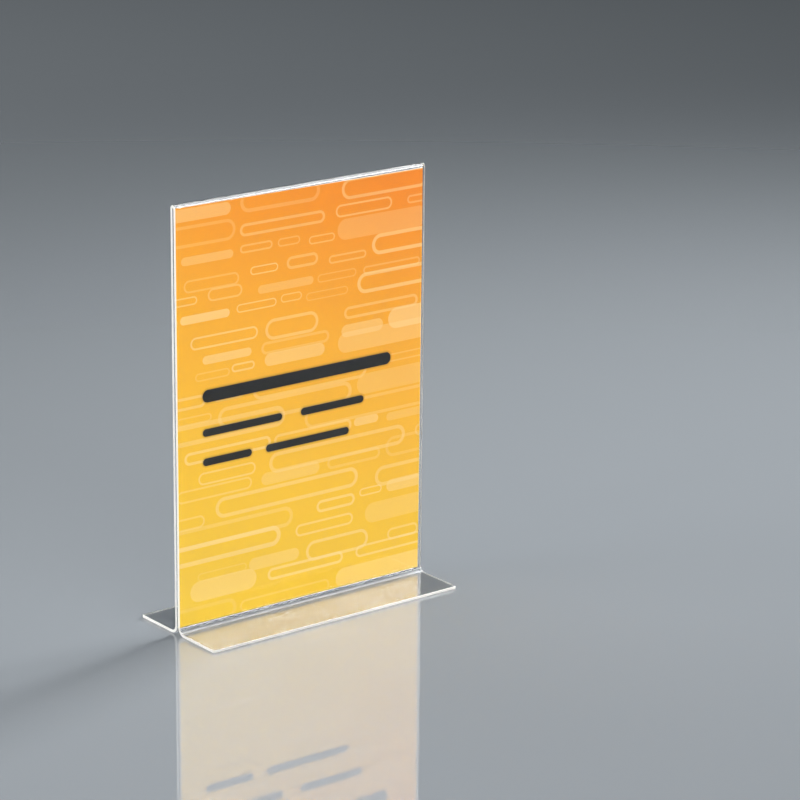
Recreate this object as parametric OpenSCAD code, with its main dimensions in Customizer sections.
// T-shaped tabletop display stand: one clear acrylic sheet, folded over a flat printed
// insert. The sheet runs from the front flap through the front foot bend, up the front
// panel, over a narrow U-fold, down the rear panel and through the rear foot bend into
// the rear flap. The slot between the panels is open at both ends and at the foot.
//
// The sheet has no seams. It is drawn in seven parts that meet face to face where the
// bends begin and end, so that each part is a simple shape and the slot stays clear.
//
// Frame: millimetres, +X along the width, -Y out of the front, +Z up. The origin is the
// middle of the base, on the surface that the stand rests on.

/* [Insert] */
// Width of the printed insert
insert_w = 210; // [74:1:297]
// Height of the printed insert
insert_h = 297; // [105:1:420]
// Thickness of the printed insert
insert_t = 0.3; // [0.1:0.05:0.8]
// Height of the insert's lower edge above the table
insert_lift = 5; // [1:0.5:10]

/* [Sheet] */
// Thickness of the clear sheet
sheet_t = 2; // [1.5:0.5:4]
// Gap between the two upright panels
slot_gap = 1.5; // [1.2:0.1:4]
// Radius of the hollow side of each foot bend
bend_r = 4.5; // [2:0.5:8]
// Rounding of the base's four corners, seen from above
corner_r = 1; // [0.5:0.5:5]

/* [Stand] */
// How far the panels reach past the insert at each side
side_margin = 1; // [0:0.5:10]
// Free height between the insert and the inside of the U-fold
head_room = 1; // [1:0.5:5]
// Depth of the base, over both flaps
base_depth = 87; // [50:1:140]

/* [Hidden] */
$fn = 96;
// Overall width and height of the stand
stand_w = insert_w + 2 * side_margin;
stand_h = insert_lift + insert_h + head_room + sheet_t;
// Distances from the slot's middle plane to a panel's two faces
panel_in = slot_gap / 2;
panel_out = panel_in + sheet_t;
// A foot bend's outer radius, and its centre's distance from the middle plane and height
bend_outer_r = bend_r + sheet_t;
bend_y = panel_out + bend_r;
bend_z = bend_outer_r;
// Height of the centre of the U-fold
fold_z = stand_h - panel_out;
// Reach of each flap past its bend
flap_depth = base_depth / 2 - bend_y;
sheet_colour = [0.84, 0.91, 0.94, 0.45];
print_colour = [0.95, 0.62, 0.16];

// Draws a profile along the whole width. The profile's own axes are the distance behind
// the slot's middle plane, then the height.
module along_width() {
    rotate([90, 0, 90])
        linear_extrude(height = stand_w, center = true)
            children();
}

module at_front() {
    mirror([0, 1, 0])
        children();
}

module ring(inner_r, outer_r) {
    difference() {
        circle(r = outer_r);
        circle(r = inner_r);
    }
}

module panel() {
    color(sheet_colour)
        along_width()
            translate([panel_in, bend_z])
                square([sheet_t, fold_z - bend_z]);
}

// A quarter ring that turns a panel outwards into its flap
module foot_bend() {
    color(sheet_colour)
        along_width()
            translate([bend_y, bend_z])
                intersection() {
                    ring(bend_r, bend_outer_r);
                    translate([-bend_outer_r, -bend_outer_r])
                        square(bend_outer_r);
                }
}

// A flap seen from above: square at its bend, with two rounded corners at its free edge
module flap_outline() {
    corner_x = stand_w / 2 - corner_r;
    corner_y = flap_depth - corner_r;
    translate([-stand_w / 2, 0])
        square([stand_w, corner_y]);
    translate([-corner_x, 0])
        square([2 * corner_x, flap_depth]);
    for (x = [-corner_x, corner_x])
        translate([x, corner_y])
            circle(r = corner_r);
}

module flap() {
    color(sheet_colour)
        translate([0, bend_y, 0])
            linear_extrude(height = sheet_t)
                flap_outline();
}

module front_flap() {
    at_front() flap();
}

module front_foot_bend() {
    at_front() foot_bend();
}

module front_panel() {
    at_front() panel();
}

// The half ring that joins the two panels
module top_fold() {
    color(sheet_colour)
        along_width()
            translate([0, fold_z])
                intersection() {
                    ring(panel_in, panel_out);
                    translate([-panel_out, 0])
                        square([2 * panel_out, panel_out]);
                }
}

module rear_panel() {
    panel();
}

module rear_foot_bend() {
    foot_bend();
}

module rear_flap() {
    flap();
}

module insert() {
    color(print_colour)
        translate([-insert_w / 2, -insert_t / 2, insert_lift])
            cube([insert_w, insert_t, insert_h]);
}

front_flap();
front_foot_bend();
front_panel();
top_fold();
rear_panel();
rear_foot_bend();
rear_flap();
insert();
